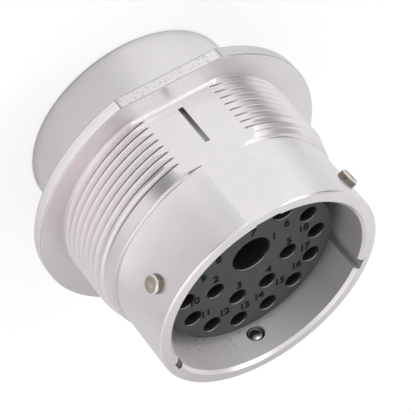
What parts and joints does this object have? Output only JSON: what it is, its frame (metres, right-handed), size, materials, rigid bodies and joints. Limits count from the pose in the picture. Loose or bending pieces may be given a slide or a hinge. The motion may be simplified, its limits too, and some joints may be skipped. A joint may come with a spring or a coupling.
{
  "type": "circular connector bulkhead receptacle",
  "caption": "Bulkhead receptacle of a circular connector: flanged, threaded shell with bayonet pins and keyways around an insert of contact cavities, empty of contacts.",
  "frame": {"origin": "on the connector's axis, in the panel face of the flange, where the panel thread starts", "axes": "+Z along the axis towards the mating side; the flats, the slot and the master keyway are at -Y; clock angles in the notes are read clockwise from there, seen from the mating side"},
  "size_m": [0.0512, 0.0497, 0.0413],
  "materials": {
    "shell_metal": "fine satin plating",
    "insert_plastic": "matte, moulded",
    "pin_steel": "turned, plain",
    "ring_steel": "stamped spring steel",
    "grommet_rubber": "matte silicone",
    "clip_metal": "plain copper alloy sheet"
  },
  "bodies": {
    "root": {"shell": "shell_metal", "front_insert": "insert_plastic", "rear_insert": "insert_plastic", "snap_ring": "ring_steel", "wire_grommet": "grommet_rubber", "bayonet_pin_1": "pin_steel", "bayonet_pin_2": "pin_steel", "bayonet_pin_3": "pin_steel", "retention_clip_1": "clip_metal", "retention_clip_2": "clip_metal", "retention_clip_3": "clip_metal", "retention_clip_4": "clip_metal", "retention_clip_5": "clip_metal", "retention_clip_6": "clip_metal", "retention_clip_7": "clip_metal", "retention_clip_8": "clip_metal", "retention_clip_9": "clip_metal", "retention_clip_10": "clip_metal", "retention_clip_11": "clip_metal", "retention_clip_12": "clip_metal", "retention_clip_13": "clip_metal", "retention_clip_14": "clip_metal", "retention_clip_15": "clip_metal", "retention_clip_16": "clip_metal", "retention_clip_17": "clip_metal", "retention_clip_18": "clip_metal"}
  },
  "joints": []
}
